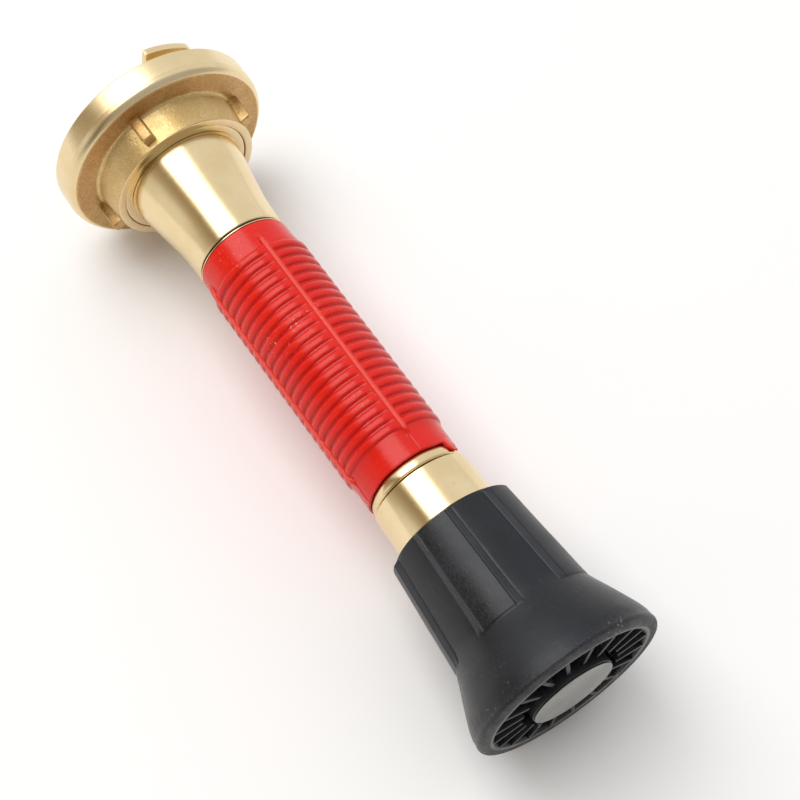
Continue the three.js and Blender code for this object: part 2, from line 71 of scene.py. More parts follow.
FACE = Vector(
    next(m for m in frame["record"]["mounts"] if m["name"] == "hose_coupling")["pos_m"]
)

# ------------------------------------------------------------------ building blocks


def place(x, r, degrees):
    """The point at x along the axis and r from it."""
    angle = math.radians(degrees)
    offset = Vector((x, r * math.cos(angle), r * math.sin(angle)))
    return FACE + offset * MM


def smoothstep(low, high, value):
    t = min(max((value - low) / (high - low), 0.0), 1.0)
    return t * t * (3 - 2 * t)


def apart(a, b):
    """The signed angle from b to a, within half a turn."""
    return (a - b + 180) % 360 - 180


def rectangle(x_start, x_end, r_inner, r_outer):
    return [(x_start, r_inner), (x_start, r_outer), (x_end, r_outer), (x_end, r_inner)]


def soften(outline, radius=0.4, steps=4):
    """Rounds the corners of a closed outline that turn by more than a few degrees."""
    slightest = 25
    rounded = []
    for i, point in enumerate(outline):
        here = Vector(point)
        before = Vector(outline[i - 1]) - here
        after = Vector(outline[(i + 1) % len(outline)]) - here
        if here.y < 1e-6 or before.length < 1e-6 or after.length < 1e-6:
            rounded.append(tuple(here))
            continue
        turn = 180 - math.degrees(before.angle(after))
        if turn < slightest:
            rounded.append(tuple(here))
            continue
        reach = min(radius, 0.45 * before.length, 0.45 * after.length)
        start = here + before.normalized() * reach
        end = here + after.normalized() * reach
        for step in range(steps + 1):
            t = step / steps
            rounded.append(tuple(start * (1 - t) ** 2 + here * 2 * t * (1 - t) + end * t * t))
    return rounded


def spline(points, steps):
    """A smooth curve through the points, which are [x, radius]."""
    ends = [points[0]] + list(points) + [points[-1]]
    curve = []
    for a, b, c, d in zip(ends, ends[1:], ends[2:], ends[3:]):
        a, b, c, d = Vector(a), Vector(b), Vector(c), Vector(d)
        for step in range(steps):
            t = step / steps
            curve.append(
                tuple(
                    0.5
                    * (
                        2 * b
                        + (c - a) * t
                        + (2 * a - 5 * b + 4 * c - d) * t * t
                        + (3 * b - a - 3 * c + d) * t**3
                    )
                )
            )
    return curve + [tuple(points[-1])]


def new_object(name, mesh):
    piece = bpy.data.objects.new(name, mesh)
    bpy.context.scene.collection.objects.link(piece)
    return piece


def finished_mesh(name, verts, faces, crease=CREASE):
    mesh = bpy.data.meshes.new(name)
    mesh.from_pydata(verts, [], faces)
    shell = bmesh.new()
    shell.from_mesh(mesh)
    bmesh.ops.remove_doubles(shell, verts=shell.verts, dist=2e-7)
    bmesh.ops.recalc_face_normals(shell, faces=shell.faces)
    shell.to_mesh(mesh)
    shell.free()
    mesh.shade_smooth()
    mesh.set_sharp_from_angle(angle=math.radians(crease))
    return mesh


def evenly(segments):
    return [360 * j / segments for j in range(segments)]


def finer_near(centres, reach, fine, coarse):
    """Angles round the circle that are closer together near the centres."""
    angles, degrees = [], 0.0
    while degrees < 360 - fine / 2:
        angles.append(degrees)
        near = min(abs(apart(degrees, centre)) for centre in centres) < reach
        degrees += fine if near else coarse
    return angles


def revolve(name, outline, angles, warp=None, crease=CREASE):
    """A closed outline turned about the axis; warp(x, r, degrees) may move each point."""
    count = len(outline)
    segments = len(angles)
    verts = []
    for degrees in angles:
        for x, r in outline:
            if warp and r > 1e-6:
                verts.append(place(*warp(x, r, degrees), degrees))
            else:
                verts.append(place(x, r, degrees))
    faces = []
    for j in range(segments):
        a = j * count
        b = (j + 1) % segments * count
        for i in range(count):
            k = (i + 1) % count
            if outline[i][1] < 1e-6 and outline[k][1] < 1e-6:
                continue
            faces.append((a + i, a + k, b + k, b + i))
    return new_object(name, finished_mesh(name, verts, faces, crease))


def swept_sector(name, outline, start, end, steps=10):
    """An outline of [x, radius] swept from one angle to another, with flat ends."""
    count = len(outline)
    angles = [start + (end - start) * i / steps for i in range(steps + 1)]
    verts = [place(x, r, angle) for angle in angles for x, r in outline]
    faces = [
        (a * count + i, a * count + (i + 1) % count, (a + 1) * count + (i + 1) % count, (a + 1) * count + i)
        for a in range(steps)
        for i in range(count)
    ]
    faces += [tuple(range(count)), tuple(steps * count + i for i in range(count))]
    return new_object(name, finished_mesh(name, verts, faces))


def slab(name, outline, width, degrees):
    """An outline of [x, radius] given a thickness across the radius at an angle."""
    turn = Matrix.Rotation(math.radians(degrees), 3, "X")
    verts = [
        FACE + turn @ Vector((x, r, side * width / 2)) * MM for side in (-1, 1) for x, r in outline
    ]
    count = len(outline)
    faces = [(i, (i + 1) % count, count + (i + 1) % count, count + i) for i in range(count)]
    faces += [tuple(range(count)), tuple(count + i for i in range(count))]
    return new_object(name, finished_mesh(name, verts, faces))


def apply_modifiers(piece):
    graph = bpy.context.evaluated_depsgraph_get()
    mesh = bpy.data.meshes.new_from_object(piece.evaluated_get(graph))
    piece.modifiers.clear()
    piece.data = mesh
    mesh.shade_smooth()
    mesh.set_sharp_from_angle(angle=math.radians(CREASE))
    return piece


def bevel(piece, width, segments=3):
    """Rounds the edges between faces that turn by more than 35 degrees."""
    modifier = piece.modifiers.new("bevel", "BEVEL")
    modifier.width = width * MM
    modifier.segments = segments
    modifier.limit_method = "ANGLE"
    modifier.angle_limit = math.radians(35)
    modifier.use_clamp_overlap = True
    return apply_modifiers(piece)


def combine(piece, others, operation):
    """Adds the other pieces to this one, or cuts them from it, and removes them."""
    for other in others:
        modifier = piece.modifiers.new("combine", "BOOLEAN")
        modifier.operation = operation
        modifier.solver = "EXACT"
        modifier.object = other
        apply_modifiers(piece)
        bpy.data.objects.remove(other)
    return piece


def merged(name, pieces):
    """One object that holds the meshes of all these pieces."""
    whole = bmesh.new()
    for piece in pieces:
        whole.from_mesh(piece.data)
        bpy.data.objects.remove(piece)
    mesh = bpy.data.meshes.new(name)
    whole.to_mesh(mesh)
    whole.free()
    mesh.shade_smooth()
    mesh.set_sharp_from_angle(angle=math.radians(CREASE))
    return new_object(name, mesh)


def finish_piece(piece, body, materials, nodes=(), pick=None):
    """Gives a piece its materials, its body and the CAD nodes that it stands for."""
    piece.data.materials.clear()
    for material in materials:
        piece.data.materials.append(material)
    if pick:
        for face in piece.data.polygons:
            local = face.center - FACE
            x, r = local.x / MM, math.hypot(local.y, local.z) / MM
            face.material_index = pick(x, r, face.normal)
    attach(piece, body)
    if nodes:
        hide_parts(*nodes)
    return piece


# ------------------------------------------------------------------ materials


class Shader:
    """A Principled material, with short calls for the nodes that feed it."""

    def __init__(self, name, **sockets):
        self.material = bpy.data.materials.new(name)
        self.material.use_nodes = True
        self.tree = self.material.node_tree
        self.bsdf = self.tree.nodes["Principled BSDF"]
        for socket, value in sockets.items():
            self.bsdf.inputs[socket.replace("_", " ")].default_value = value
        self.position = self.node("ShaderNodeTexCoord").outputs["Object"]

    def node(self, kind, inputs=None, **settings):
        made = self.tree.nodes.new(kind)
        for key, value in settings.items():
            setattr(made, key, value)
        for key, value in (inputs or {}).items():
            self.feed(made.inputs[key], value)
        return made

    def feed(self, socket, value):
        if isinstance(value, bpy.types.NodeSocket):
            self.tree.links.new(value, socket)
        else:
            socket.default_value = value

    def drive(self, socket, value):
        self.feed(self.bsdf.inputs[socket], value)

    def stretched(self, x, across):
        """The position with its own scale along the axis and across it."""
        mapping = self.node(
            "ShaderNodeMapping", {"Vector": self.position, "Scale": (x, across, across)}
        )
        return mapping.outputs[0]

    def noise(self, scale, detail=4.0, roughness=0.55, vector=None, distortion=0.0):
        return self.node(
            "ShaderNodeTexNoise",
            {
                "Vector": vector or self.position,
                "Scale": scale,
                "Detail": detail,
                "Roughness": roughness,
                "Distortion": distortion,
            },
        ).outputs[0]

    def cells(self, scale):
        return self.node(
            "ShaderNodeTexVoronoi", {"Vector": self.position, "Scale": scale}
        ).outputs["Distance"]

    def span(self, value, low, high, to_low=0.0, to_high=1.0):
        """The value mapped from one range to another and held inside it."""
        return self.node(
            "ShaderNodeMapRange",
            {"Value": value, "From Min": low, "From Max": high, "To Min": to_low, "To Max": to_high},
        ).outputs[0]

    def math(self, operation, a, b=0.0):
        return self.node("ShaderNodeMath", {0: a, 1: b}, operation=operation).outputs[0]

    def mix(self, share, first, second):
        made = self.node("ShaderNodeMix", data_type="RGBA")
        self.feed(made.inputs[0], share)
        self.feed(made.inputs[6], first)
        self.feed(made.inputs[7], second)
        return made.outputs[2]

    def along(self):
        """The distance along the axis from the coupling's face, in millimetres."""
        x = self.node("ShaderNodeSeparateXYZ", {0: self.position}).outputs[0]
        return self.math("MULTIPLY", self.math("SUBTRACT", x, FACE.x), 1 / MM)

    def radius(self):
        """The distance from the axis, in millimetres."""
        offset = self.node(
            "ShaderNodeVectorMath", {0: self.position, 1: (0, FACE.y, FACE.z)}, operation="SUBTRACT"
        ).outputs[0]
        flat = self.node(
            "ShaderNodeVectorMath", {0: offset, 1: (0, 1, 1)}, operation="MULTIPLY"
        ).outputs[0]
        length = self.node("ShaderNodeVectorMath", {0: flat}, operation="LENGTH").outputs["Value"]
        return self.math("MULTIPLY", length, 1 / MM)

    def angle(self):
        """The angle about the axis from +Y towards +Z, in degrees, between 180 and 540."""
        parts = self.node("ShaderNodeSeparateXYZ", {0: self.position})
        y = self.math("SUBTRACT", parts.outputs[1], FACE.y)
        z = self.math("SUBTRACT", parts.outputs[2], FACE.z)
        turn = self.math("MULTIPLY", self.math("ARCTAN2", z, y), 180 / math.pi)
        return self.math("ADD", turn, 360.0)

    def bump(self, *layers):
        """Bumps from pairs of height and depth in millimetres, one over the other."""
        normal = None
        for height, depth in layers:
            inputs = {"Height": height, "Distance": depth * MM, "Strength": 1.0}
            if normal:
                inputs["Normal"] = normal
            normal = self.node("ShaderNodeBump", inputs).outputs[0]
        self.drive("Normal", normal)


def rgb(r, g, b):
    """A colour from its screen values, 0 to 255."""

    def linear(value):
        value /= 255
        return value / 12.92 if value <= 0.04045 else ((value + 0.055) / 1.055) ** 2.4

    return (linear(r), linear(g), linear(b), 1.0)


def turned_brass():
    """Brass from a lathe: fine rings round the axis, a little tarnish and handling marks."""
    s = Shader("turned_brass", Metallic=1.0)
    rings = s.noise(1.0, 5, 0.7, s.stretched(2600, 18))
    fine = s.noise(1.0, 3, 0.6, s.stretched(9000, 60))
    cloud = s.noise(34, 5, 0.6)
    spots = s.span(s.noise(420, 3, 0.5), 0.70, 0.80)
    pale = s.mix(s.span(cloud, 0.35, 0.7), rgb(238, 218, 176), rgb(226, 202, 154))
    s.drive("Base Color", s.mix(s.math("MULTIPLY", spots, 0.35), pale, rgb(140, 100, 48)))
    rough = s.math("ADD", s.span(rings, 0.3, 0.7, 0.15, 0.20), s.span(cloud, 0.3, 0.7, 0.0, 0.05))
    rim = s.span(s.radius(), 36.0, 40.0, 0.0, 0.08)
    s.drive("Roughness", s.math("ADD", rough, rim))
    s.bump((rings, 0.007), (fine, 0.003))
    return s.material


def cast_brass():
    """Brass as it left the sand mould: grainy and pitted, darker in its hollows."""
    s = Shader("cast_brass", Metallic=1.0)
    grain = s.noise(1500, 4, 0.65)
    lumps = s.noise(230, 4, 0.6)
    pits = s.span(s.cells(520), 0.05, 0.35)
    cloud = s.noise(60, 4, 0.6)
    base = s.mix(s.span(cloud, 0.3, 0.7), rgb(202, 164, 108), rgb(222, 190, 138))
    base = s.mix(s.span(grain, 0.38, 0.62, 0.6, 0.0), base, rgb(164, 122, 70))
    on_hub = s.span(s.radius(), 37.4, 36.4)
    base = s.mix(s.math("MULTIPLY", on_hub, 0.2), base, rgb(240, 226, 160))
    s.drive("Base Color", base)
    rough = s.span(lumps, 0.3, 0.7, 0.38, 0.54)
    s.drive("Roughness", s.math("SUBTRACT", rough, s.math("MULTIPLY", on_hub, 0.04)))
    s.bump((lumps, 0.16), (pits, 0.05), (grain, 0.08))
    return s.material


def red_rubber():
    """Moulded red rubber with a satin skin: painted shade in its grooves, a painted highlight on the seams,
    pale scuffs.
    """
    s = Shader("red_rubber", Metallic=0.0, IOR=1.38)
    cloud = s.noise(45, 4, 0.6)
    skin = s.noise(900, 4, 0.6)
    # Painted shade: a darker red where the sleeve lies low, between its rings.
    groove_shade = s.math(
        "MAXIMUM", s.span(s.radius(), 22.0, 22.8), s.span(s.along(), LAST_RING, LAST_RING + 3)
    )
    groove_shade = s.math("MAXIMUM", groove_shade, s.span(s.along(), FIRST_RING - 3, FIRST_RING, 1.0, 0.0))
    base = s.mix(s.span(cloud, 0.3, 0.7), rgb(212, 23, 11), rgb(223, 33, 16))
    base = s.mix(groove_shade, rgb(190, 14, 10), base)
    # The raised seams are paler, most towards their edges: partly wear, partly a painted highlight on the
    # rounded edges.
    from_seam = s.math("PINGPONG", s.math("SUBTRACT", s.angle(), SEAMS[0]), 45.0)
    seam = s.math("MULTIPLY", s.span(from_seam, 2.4, 3.0, 1.0, 0.0), s.span(s.radius(), 22.9, 23.3))
    base = s.mix(s.math("MULTIPLY", seam, s.span(from_seam, 0.8, 2.0, 0.25, 0.6)), base, rgb(250, 112, 96))
    patches = s.span(s.noise(30, 2, 0.5), 0.55, 0.68)
    scuff = s.span(s.noise(1.0, 5, 0.8, s.stretched(420, 760)), 0.59, 0.66)
    base = s.mix(s.math("MULTIPLY", patches, scuff), base, rgb(248, 172, 160))
    s.drive("Base Color", base)
    streaks = s.noise(1.0, 4, 0.7, s.stretched(900, 170))
    rough = s.math("ADD", s.span(cloud, 0.3, 0.7, 0.15, 0.22), s.span(streaks, 0.4, 0.65, 0, 0.12))
    s.drive("Roughness", rough)
    s.bump((cloud, 0.25), (streaks, 0.025), (skin, 0.02))
    return s.material


def black_rubber():
    """Hard black rubber: painted sheen on pads and flanks, a dusty lip with a painted highlight on its
    inner edge, fine scratches, a little grit.
    """
    s = Shader("black_rubber", Metallic=0.0, IOR=1.43)
    cloud = s.noise(38, 5, 0.65)
    skin = s.noise(1300, 4, 0.6)
    x = s.along()
    from_pad = s.math("PINGPONG", s.math("SUBTRACT", s.angle(), PAD_CENTRES[0]), 180 / PADS)
    on_wall = s.math("MULTIPLY", s.span(x, PAD_START, 236), s.span(x, 280, PAD_END, 1.0, 0.0))

    base = s.mix(s.span(cloud, 0.32, 0.72), rgb(9, 11, 16), rgb(20, 23, 31))
    # Painted sheen: grainy pale specks on the pads' tops.
    pad = s.math("MULTIPLY", on_wall, s.span(from_pad, PAD_HALF - 0.2, PAD_HALF, 1.0, 0.0))
    base = s.mix(s.math("MULTIPLY", pad, s.span(skin, 0.40, 0.65, 0.0, 0.35)), base, rgb(54, 56, 62))
    # Painted reflection: the pads' sloping flanks are a lighter grey-blue.
    flank_sheen = s.math("MULTIPLY", s.span(from_pad, PAD_HALF, PAD_HALF + 0.3), on_wall)
    flank_sheen = s.math("MULTIPLY", flank_sheen, s.span(from_pad, FLANK_END - 0.3, FLANK_END, 1.0, 0.0))
    base = s.mix(s.math("MULTIPLY", flank_sheen, s.span(cloud, 0.35, 0.65, 0.2, 0.9)), base, rgb(46, 49, 55))

    scratches = s.noise(1.0, 4, 0.75, s.stretched(90, 1300), 0.5)
    line = s.math("MULTIPLY", s.span(scratches, 0.62, 0.67), s.span(s.noise(48, 3, 0.6), 0.44, 0.6))
    base = s.mix(s.math("MULTIPLY", line, s.span(x, 280, 290, 0.35, 0.9)), base, rgb(78, 78, 80))

    lip = s.span(x, 304.5, 310)
    face = s.math("MULTIPLY", s.span(x, 311.4, 312.6), s.span(s.radius(), 36.0, 37.0))
    dust = s.span(s.noise(160, 5, 0.75), 0.32, 0.62, 0.1, 0.7)
    base = s.mix(s.math("MULTIPLY", lip, s.span(skin, 0.45, 0.68, 0.0, 0.4)), base, rgb(70, 70, 72))
    base = s.mix(s.math("MULTIPLY", face, dust), base, rgb(92, 93, 94))
    # Painted highlight: a thin pale line along the mouth's inner edge.
    inner_edge = s.math("MULTIPLY", face, s.span(s.radius(), 38.0, 37.2))
    inner_edge_highlight = s.math("MULTIPLY", inner_edge, s.span(s.noise(90, 4, 0.7), 0.40, 0.55, 0.3, 0.9))
    base = s.mix(inner_edge_highlight, base, rgb(150, 147, 140))
    grit = s.span(s.noise(480, 5, 0.75), 0.60, 0.65)
    patch = s.span(s.noise(48, 3, 0.6), 0.50, 0.58)
    base = s.mix(s.math("MULTIPLY", s.math("MULTIPLY", lip, grit), patch), base, rgb(196, 184, 156))

    s.drive("Base Color", base)
    rough = s.math("ADD", s.span(cloud, 0.3, 0.7, 0.24, 0.40), s.span(skin, 0.3, 0.7, 0, 0.12))
    s.drive("Roughness", s.math("ADD", rough, s.math("MULTIPLY", face, 0.2)))
    s.bump((cloud, 0.2), (scratches, 0.03), (skin, 0.03))
    return s.material


def seal_rubber():
    """The soft black rubber of the seals."""
    s = Shader("seal_rubber", Metallic=0.0)
    skin = s.noise(1800, 3, 0.6)
    s.drive("Base Color", s.mix(s.span(skin, 0.3, 0.7), rgb(24, 24, 26), rgb(40, 40, 43)))
    s.drive("Roughness", s.span(skin, 0.3, 0.7, 0.42, 0.6))
    s.bump((skin, 0.02))
    return s.material


def black_plastic():
    """Smooth black moulding with faint flow marks."""
    s = Shader("black_plastic", Metallic=0.0)
    flow = s.noise(1.0, 4, 0.6, s.stretched(160, 60))
    skin = s.noise(2200, 3, 0.6)
    s.drive("Base Color", s.mix(s.span(flow, 0.3, 0.7), rgb(20, 21, 24), rgb(34, 35, 39)))
    s.drive("Roughness", s.span(flow, 0.3, 0.7, 0.3, 0.44))
    s.bump((skin, 0.01))
    return s.material


def satin_steel():
    """Grey satin metal with the marks of facing on a lathe."""
    s = Shader("satin_steel", Metallic=0.85)
    outward = s.node("ShaderNodeCombineXYZ", {0: s.radius()}).outputs[0]
    wave = s.node(
        "ShaderNodeTexNoise", {"Vector": outward, "Scale": 14.0, "Detail": 4.0}
    ).outputs[0]
    cloud = s.noise(60, 4, 0.6)
    s.drive("Base Color", s.mix(s.span(cloud, 0.3, 0.7), rgb(176, 175, 172), rgb(158, 157, 154)))
    s.drive("Roughness", s.span(cloud, 0.3, 0.7, 0.34, 0.46))
    s.bump((wave, 0.006), (cloud, 0.02))
    return s.material


TURNED, CAST = turned_brass(), cast_brass()
RED, BLACK, SEAL, PLASTIC, STEEL = (
    red_rubber(),
    black_rubber(),
    seal_rubber(),
    black_plastic(),
    satin_steel(),
)

# ------------------------------------------------------------------ swivel coupling

CLAW_ANGLES, SLOT_ANGLES, RIB_ANGLES = (64, 244), (154, 334), (20, 110, 200, 290)
CLAW_HALF, CLAW_INNER_R, CLAW_NECK_R, CLAW_HOOK_R = 16.3, 33, 38, 41.8
SLOT_HALF, SLOT_R, SLOT_DEPTH = 19, 43, 12.4
LATCH_FACE, LATCH_SWEEP = 8, 52  # the plate that the mating claws turn behind, and how far
RIB_R, RIB_WIDTH = 39.2, 5.4


def coupling_ring():
    rim = [(9.5, RIM_R)] + spline([(9.6, 48.95), (11.6, 48.4), (13.1, 47.2), (13.9, 45.8)], 4)
    hub = [(13.9, 37.1), (14.1, 36.4), (14.6, 35.8), (15.4, 35.4)]
    ring = revolve(
        "coupling_ring_visual",
        soften(
            [(0, 31.7), (0, RIM_R)] + rim + hub
            + [(28.9, 34.0), (29, 30.3), (25.6, 30.3), (25.6, 27.5), (11, 27.5), (11, 31.7)],
            0.6,
        ),
        evenly(200),
        cast_warp,
    )
    claw = soften(
        [(-12, CLAW_INNER_R), (-12, CLAW_HOOK_R), (-8.6, CLAW_HOOK_R), (-8.6, CLAW_NECK_R),
         (2, CLAW_NECK_R), (2, CLAW_INNER_R)],
        0.5, 3,
    )
    claws = [
        bevel(swept_sector("claw", claw, a - CLAW_HALF, a + CLAW_HALF), 0.4, 2) for a in CLAW_ANGLES
    ]
    rib = rectangle(12.9, 26.5, 31.4, RIB_R)
    ribs = [bevel(slab("rib", rib, RIB_WIDTH, a), 1.1, 5) for a in RIB_ANGLES]
    combine(ring, claws + ribs, "UNION")
    slot = rectangle(-1, SLOT_DEPTH, CLAW_INNER_R, SLOT_R)
    way = rectangle(LATCH_FACE, SLOT_DEPTH, CLAW_INNER_R, SLOT_R)
    neck = rectangle(-1, LATCH_FACE + 1, CLAW_INNER_R, CLAW_NECK_R + 0.5)
    cuts = []
    for a in SLOT_ANGLES:
        start = a + SLOT_HALF - 1
        end = a + SLOT_HALF + LATCH_SWEEP
        cuts.append(swept_sector("slot", slot, a - SLOT_HALF, a + SLOT_HALF))
        cuts.append(swept_sector("way", way, start, end))
        cuts.append(swept_sector("neck", neck, start, end))
    return combine(ring, cuts, "DIFFERENCE")


def cast_warp(x, r, degrees):
    """The casting's own unevenness, on the rear face and the hub's flank."""
    if x < 13.8 or r < 34:
        return x, r
    bump = noise.noise(place(x, r, degrees) * 190) * 0.22
    return (x + bump, r) if r > 37 else (x, r + bump * 0.6)


def cast_or_turned(x, r, normal):
    """1 for CAST, which is everything behind the rim's edge but the hub's end face, else 0."""
    end_face = x > 28.6 and normal.x > 0.7
    return int(x > 13.6 and not end_face)


finish_piece(
    coupling_ring(), "coupling", [TURNED, CAST], ["coupling_ring"], cast_or_turned
)
finish_piece(
    revolve(
        "coupling_gasket_visual",
        soften(
            [(-1.3, 24), (-1.3, 27), (-0.2, 31), (2.7, 31), (2.7, 28.7), (6.2, 28.7), (6.2, 25.8),
             (2.7, 25.8), (2.7, 24.2), (1.6, 23)],
            0.5,
        ),
        evenly(128),
    ),
    "nozzle", [SEAL], ["coupling_gasket"],
)


def coupling_tail():
    cone = spline(
        [(28.6, 26.9), (36, 25.85), (44.6, 24.5), (54.1, 22.95), (60.6, 22.1), (66, 21.7), (71, 21.5),
         (75.7, 21.4)],
        4,
    )
    inside = [(76, 20.8), (76, 18.3), (60, 17.3), (60, 16.5), (14, 22.8), (3, 23.8)]
    flange = [(3, 25.5), (6.5, 25.5), (6.5, 29), (3, 29), (3, 31.4), (9.6, 31.4), (9.6, 27.2),
              (26.6, 27.2), (26.6, 25.8), (28.6, 25.8)]
    return revolve("coupling_tail_visual", soften(flange + cone + inside, 0.3), evenly(160))


finish_piece(coupling_tail(), "nozzle", [TURNED], ["coupling_tail"])
finish_piece(
    bevel(
        swept_sector("retaining_ring_visual", rectangle(26.9, 28.5, 26.0, 30.2), -58, 292, 160),
        0.25,
    ),
    "nozzle", [TURNED], ["retaining_ring"],
)
finish_piece(
    revolve("tail_seal_visual", soften(rectangle(76.2, 76.6, 18.7, 20.7), 0.15), evenly(128)),
    "nozzle", [SEAL], ["tail_seal"],
)

# ------------------------------------------------------------------ tube and grip

finish_piece(
    revolve(
        "nozzle_tube_visual",
        soften(
            [(61, 15), (61, 17), (76.8, 17), (76.8, 21.2), (77.3, 21.2), (77.3, 19.8), (80, 19.8),
             (80, 18.6), (203, 18.6), (203, 17.3), (187, 17.3), (187, 15)],
            0.15,
        ),
        evenly(128),
    ),
    "nozzle", [TURNED], ["nozzle_tube"],
)

GRIP_R, GRIP_END = 22.15, 207.8
TAB_START, TAB_END, TAB_REACH = 30, 47, 4.6  # the tab at the sleeve's front end


def grip_warp(x, r, degrees):
    """Raises the rings, the four seams between them and the sleeve's uneven end."""
    if r > 21.1:
        r += grip_relief(x, degrees)
    share = smoothstep(GRIP_END - 9, GRIP_END, x)
    drawn_back = 1 - 0.55 * smoothstep(78, 120, abs(apart(degrees, 51)))
    tab = smoothstep(TAB_START, TAB_START + 4, degrees) * (1 - smoothstep(TAB_END - 4, TAB_END, degrees))
    tab *= smoothstep(GRIP_END - 2.5, GRIP_END, x)
    angle = math.radians(degrees)
    ragged = noise.noise(Vector((math.cos(angle) * 3, math.sin(angle) * 3, 3)))
    r += 0.9 * tab if r > 21.45 else 1.2 * tab - 0.5 * drawn_back * share
    return x - share * (2.0 * drawn_back - 0.25 * ragged) + TAB_REACH * tab, r


def grip_relief(x, degrees):
    """How far the rings and seams stand out of the sleeve."""
    from_seam = min((apart(degrees, seam) for seam in SEAMS), key=abs)
    beside = smoothstep(2.6, 14.0, from_seam) if from_seam > 0 else smoothstep(2.4, 6.0, -from_seam)
    phase = (x - FIRST_RING) / RING_PITCH
    in_rings = smoothstep(-0.62, -0.36, phase) * (1 - smoothstep(RINGS - 0.64, RINGS - 0.38, phase))
    from_crest = abs(phase - round(phase))
    crest = 1 - smoothstep(0.24, 0.47, from_crest) - 2.4 * min(from_crest, 0.24) ** 2
    plain = 0.62
    height = 1.05 * (plain + (crest - plain) * (0.1 + 0.9 * beside)) * in_rings
    seam_span = smoothstep(FIRST_RING - 8, FIRST_RING - 5, x)
    seam_span *= 1 - smoothstep(LAST_RING + 2, LAST_RING + 7, x)
    band = 1.5 * math.sqrt(max(1 - (from_seam / 2.9) ** 2, 0))
    flash = 0.3 * math.exp(-(((from_seam + 1.2) / 0.5) ** 2))
    flash *= smoothstep(LAST_RING + 2, LAST_RING + 5, x)
    off_the_ends = smoothstep(79, 80, x) * (1 - smoothstep(GRIP_END - 1.2, GRIP_END - 0.4, x))
    return (max(height, band * seam_span) + flash) * off_the_ends


def grip_outline():
    """The sleeve's section before grip_warp raises its rings, with points where they need them."""
    outside = [(77.6, 21.0), (77.9, 21.4), (79, 21.5), (82, 21.6), (84.5, 21.7), (86.5, 21.9),
               (88, 22.0), (89, 22.1)]
    steps = (-0.47, -0.42, -0.36, -0.30, -0.22, 0.0, 0.22, 0.30, 0.36, 0.42)
    for ring in range(RINGS):
        for step in steps:
            outside.append((FIRST_RING + (ring + step) * RING_PITCH, GRIP_R))
    outside.append((LAST_RING + 0.47 * RING_PITCH, GRIP_R))
    narrowing = (194.1, 194.9, 196, 197.5, 199, 201, 203, 204.5, 205.5, 206.3, 207)
    outside += [(x, GRIP_R - 0.35 * smoothstep(193, 198, x)) for x in narrowing]
    lip = [(0.3, 21.8), (0.1, 21.72), (0.0, 21.58), (0.0, 21.2), (0.3, 21.1)]
    lip = [(GRIP_END - back, r) for back, r in lip]
    inside = [(206, 20.7), (204.5, 20.0), (203, 18.95), (198, 18.9), (80.3, 18.9), (80.3, 20.1),
              (77.6, 20.1)]
    return outside + lip + inside


finish_piece(
    revolve("grip_sleeve_visual", grip_outline(), finer_near(SEAMS, 4.5, 0.4, 1.25), grip_warp, 40),
    "nozzle", [RED], ["grip_sleeve"],
)

# ------------------------------------------------------------------ cam body

BODY_R, SEAL_GROOVE_R, CAM_GROOVE_R = 19.5, 16.9, 2.4
CAM_X, CAM_TURN, CAM_TRAVEL = 241.5, 270, 14
PIN_ANGLES = (30, 210)
HEAD_SEALS, SEAL_HALF = (232.6, 236.6), 1.55


def cam_body():
    neck = spline(
        [(203.3, 18.9), (204.5, 19.5), (206, 20.3), (207.5, 20.85), (209, 21.2), (210, 21.25),
         (210.8, 21.0), (211.2, 20.5)],
        4,
    )
    grooves = []
    for x in HEAD_SEALS:
        start, end = x - SEAL_HALF, x + SEAL_HALF
        grooves += [(start, BODY_R), (start, SEAL_GROOVE_R), (end, SEAL_GROOVE_R), (end, BODY_R)]
    outline = (
        [(188, 15), (188, 17), (203.3, 17)] + neck + [(211.4, BODY_R)] + grooves
        + [(265.2, BODY_R), (266, 18.7), (266, 17.3), (259.2, 17.3), (259.2, 15)]
    )
    body = revolve("cam_body_visual", soften(outline, 0.2, 2), evenly(144))
    return combine(body, [cam_groove(a) for a in PIN_ANGLES], "DIFFERENCE")


def cam_groove(start):
    """The path of a guide pin, as a round bar to cut away."""
    steps, sides, margin = 60, 12, 12
    sweep = CAM_TURN + 2 * margin
    verts = []
    for i in range(steps + 1):
        turn = -margin + sweep * i / steps
        centre_x = CAM_X + CAM_TRAVEL / CAM_TURN * turn
        for k in range(sides):
            a = 2 * math.pi * k / sides
            x = centre_x + CAM_GROOVE_R * math.cos(a)
            r = BODY_R + 0.2 + CAM_GROOVE_R * math.sin(a)
            verts.append(place(x, r, start + turn))
    faces = [
        (i * sides + k, i * sides + (k + 1) % sides, (i + 1) * sides + (k + 1) % sides, (i + 1) * sides + k)
        for i in range(steps)
        for k in range(sides)
    ]
    faces += [tuple(range(sides)), tuple(steps * sides + k for k in range(sides))]
    return new_object("cam_groove", finished_mesh("cam_groove", verts, faces))


finish_piece(cam_body(), "nozzle", [TURNED], ["cam_body"])

# ------------------------------------------------------------------ baffle

finish_piece(
    revolve(
        "baffle_visual",
        soften(
            [(300.8, 0), (300.8, 3.3), (285, 3.3), (285, 7), (291.5, 13.5), (294, 13.5), (297.7, 17.2),
             (295.2, 17.2), (296.7, 18.7), (314.4, 18.7), (314.4, 0)],
            0.4,
        ),
        evenly(128),
    ),
    "nozzle", [PLASTIC], ["baffle"],
)
finish_piece(
    revolve(
        "baffle_disc_visual",
        soften(
            [(314.6, 0), (314.6, 18.3), (315.2, 18.3), (315.2, 17.4), (315.1, 17.2), (315.1, 0)], 0.25
        ),
        evenly(128),
    ),
    "nozzle", [STEEL], ["baffle_disc"],
)

# ------------------------------------------------------------------ twist head

